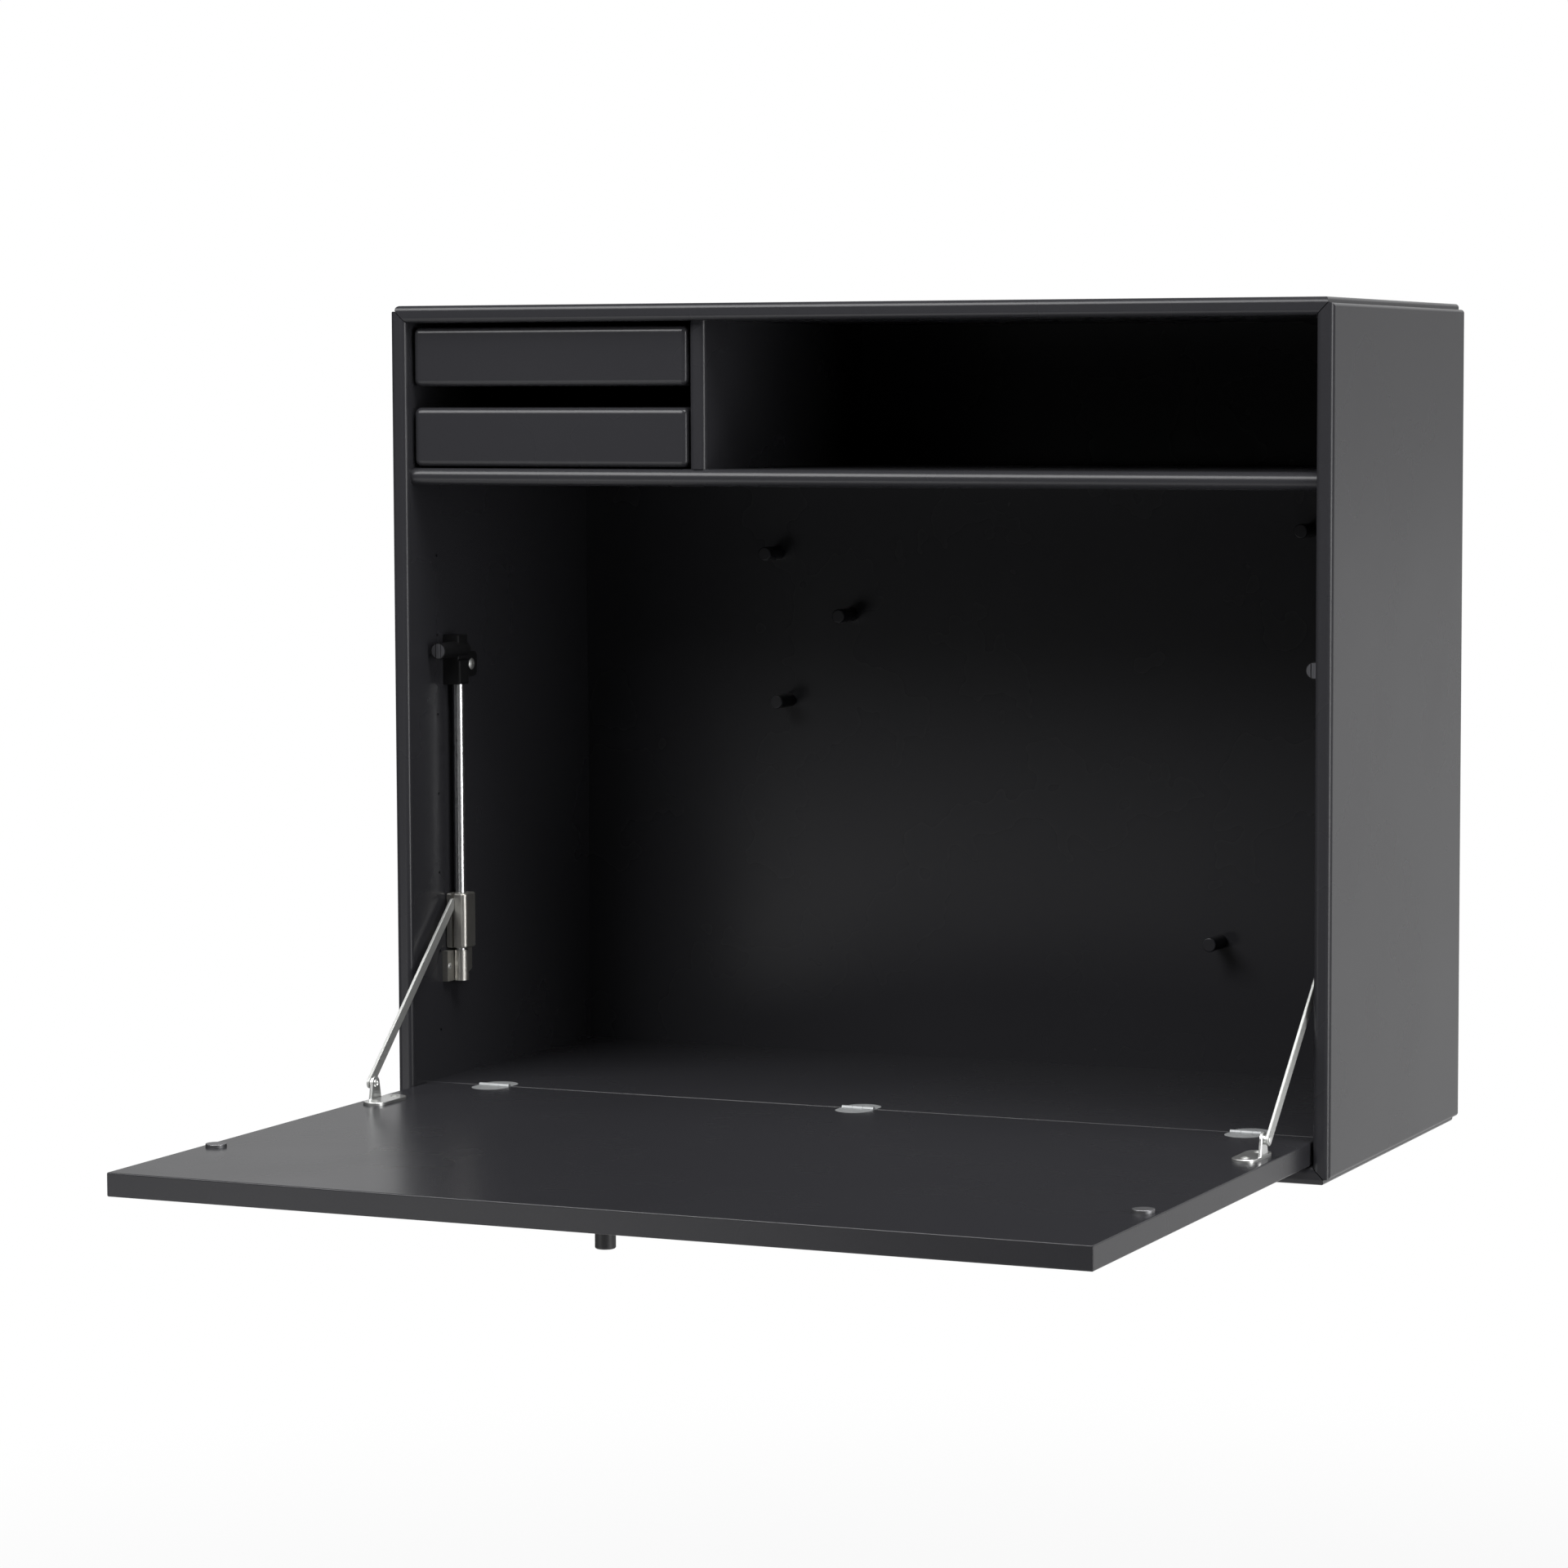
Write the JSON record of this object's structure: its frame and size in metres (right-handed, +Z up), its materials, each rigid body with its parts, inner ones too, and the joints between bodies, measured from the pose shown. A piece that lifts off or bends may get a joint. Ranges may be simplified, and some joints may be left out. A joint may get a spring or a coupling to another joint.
{
  "type": "fold down wall desk",
  "caption": "Wall-hung desk case with a drop flap on rod-guided sliding stays, a shelf, a divider, shallow drawers beside an open bay, and a hanging rail behind.",
  "frame": {"origin": "middle of the lower rear edge of the case, where it meets the wall", "axes": "+X to the right seen from the room, +Y into the wall, +Z up"},
  "size_m": [0.696, 0.7015, 0.5856],
  "materials": {
    "charcoal_lacquered_mdf": "satin sprayed lacquer",
    "drawer_box_board": "satin lacquered board",
    "beech_dowel": "turned beech",
    "satin_nickel_steel": "satin nickel plate",
    "zinc_screw_steel": "zinc plated",
    "cast_nickel_zinc": "nickel plated casting",
    "chromed_rod": "polished chrome",
    "black_nylon": "moulded, fine grain",
    "catch_magnet_poles": "sintered magnet between steel pole plates",
    "strike_steel": "satin",
    "galvanised_steel": "galvanised sheet",
    "black_runner_plastic": "extruded",
    "black_knob_metal": "satin powder coat"
  },
  "bodies": {
    "case": {"back_pegs": "charcoal_lacquered_mdf", "case_back": "charcoal_lacquered_mdf", "case_bottom": "charcoal_lacquered_mdf", "case_left_side": "charcoal_lacquered_mdf", "case_right_side": "charcoal_lacquered_mdf", "case_top": "charcoal_lacquered_mdf", "catch_magnet_left": "catch_magnet_poles", "catch_magnet_right": "catch_magnet_poles", "divider": "charcoal_lacquered_mdf", "divider_dowels": "beech_dowel", "floor_board": "charcoal_lacquered_mdf", "hanger_cleat": "galvanised_steel", "hinge_floor_leaf_center": "satin_nickel_steel", "hinge_floor_leaf_left": "satin_nickel_steel", "hinge_floor_leaf_right": "satin_nickel_steel", "hinge_floor_screws": "zinc_screw_steel", "hinge_pins": "satin_nickel_steel", "lower_drawer_left_runner": "black_runner_plastic", "lower_drawer_right_runner": "black_runner_plastic", "shelf": "charcoal_lacquered_mdf", "shelf_dowels": "beech_dowel", "stay_foot_left": "cast_nickel_zinc", "stay_foot_right": "cast_nickel_zinc", "stay_housing_left": "black_nylon", "stay_housing_right": "black_nylon", "stay_rod_left": "chromed_rod", "stay_rod_right": "chromed_rod", "stay_screws": "zinc_screw_steel", "upper_drawer_left_runner": "black_runner_plastic", "upper_drawer_right_runner": "black_runner_plastic", "wall_rail": "galvanised_steel"},
    "flap": {"bracket_rivets": "satin_nickel_steel", "bracket_screws": "zinc_screw_steel", "flap_bracket_left": "satin_nickel_steel", "flap_bracket_right": "satin_nickel_steel", "flap_knob": "black_knob_metal", "flap_panel": "charcoal_lacquered_mdf", "hinge_flap_leaf_center": "satin_nickel_steel", "hinge_flap_leaf_left": "satin_nickel_steel", "hinge_flap_leaf_right": "satin_nickel_steel", "hinge_flap_screws": "zinc_screw_steel", "strike_disc_left": "strike_steel", "strike_disc_right": "strike_steel"},
    "lower_drawer": {"lower_drawer_back": "drawer_box_board", "lower_drawer_bottom": "drawer_box_board", "lower_drawer_front": "charcoal_lacquered_mdf", "lower_drawer_left_side": "drawer_box_board", "lower_drawer_right_side": "drawer_box_board"},
    "left_stay_arm": {"stay_arm_left": "satin_nickel_steel"},
    "right_stay_arm": {"stay_arm_right": "satin_nickel_steel"},
    "left_stay_slider": {"stay_slider_left": "cast_nickel_zinc"},
    "right_stay_slider": {"stay_slider_right": "cast_nickel_zinc"},
    "upper_drawer": {"upper_drawer_back": "drawer_box_board", "upper_drawer_bottom": "drawer_box_board", "upper_drawer_front": "charcoal_lacquered_mdf", "upper_drawer_left_side": "drawer_box_board", "upper_drawer_right_side": "drawer_box_board"}
  },
  "joints": [
    {"name": "flap_hinge", "type": "hinge", "parent": "case", "child": "flap", "pos_m": [0, -0.275, 0.028], "axis": [-1, 0, 0], "range_deg": [0, 90]},
    {"name": "left_slider_travel", "type": "slide", "parent": "case", "child": "left_stay_slider", "axis": [0, 0, 1], "range_m": [0, 0.13592]},
    {"name": "left_arm_pivot", "type": "hinge", "parent": "flap", "child": "left_stay_arm", "pos_m": [-0.3301, -0.371, 0.0404], "axis": [1, 0, 0], "range_deg": [0, 132.37]},
    {"name": "right_slider_travel", "type": "slide", "parent": "case", "child": "right_stay_slider", "axis": [0, 0, 1], "range_m": [0, 0.13592]},
    {"name": "right_arm_pivot", "type": "hinge", "parent": "flap", "child": "right_stay_arm", "pos_m": [0.3301, -0.371, 0.0404], "axis": [1, 0, 0], "range_deg": [0, 132.37]},
    {"name": "upper_drawer_slide", "type": "slide", "parent": "case", "child": "upper_drawer", "axis": [0, -1, 0], "range_m": [0, 0.19]},
    {"name": "lower_drawer_slide", "type": "slide", "parent": "case", "child": "lower_drawer", "axis": [0, -1, 0], "range_m": [0, 0.19]}
  ],
  "couplings": [
    {"joint": "left_slider_travel", "follows": "flap_hinge", "m_per_rad": 0.086527},
    {"joint": "left_arm_pivot", "follows": "flap_hinge", "ratio": 1.4707},
    {"joint": "right_slider_travel", "follows": "flap_hinge", "m_per_rad": 0.086527},
    {"joint": "right_arm_pivot", "follows": "flap_hinge", "ratio": 1.4707}
  ]
}
